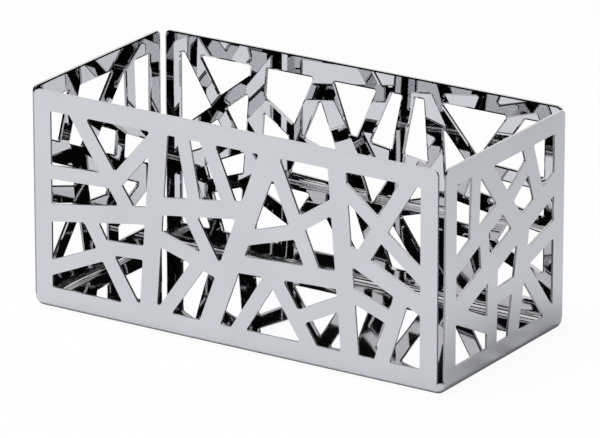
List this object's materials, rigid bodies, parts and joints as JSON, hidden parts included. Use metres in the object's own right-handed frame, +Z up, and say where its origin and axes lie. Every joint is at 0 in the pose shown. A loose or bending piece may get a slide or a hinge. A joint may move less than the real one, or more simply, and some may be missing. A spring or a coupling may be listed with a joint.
{
  "type": "sugar packet holder",
  "caption": "Open-topped rectangular table holder of mirror-polished steel sheet, with a shallow rolled-edge base and openwork lattice walls, for upright sugar packets.",
  "frame": {"origin": "middle of the flat underside, on the surface that the holder stands on", "axes": "+X along the long walls, +Y from the front wall to the back wall, +Z up"},
  "size_m": [0.12, 0.0584, 0.0572],
  "materials": {
    "polished_steel": "mirror polished stainless steel"
  },
  "bodies": {
    "root": {"base_pan": "polished_steel", "front_wall": "polished_steel", "back_wall": "polished_steel", "left_wall": "polished_steel", "right_wall": "polished_steel"}
  },
  "joints": []
}
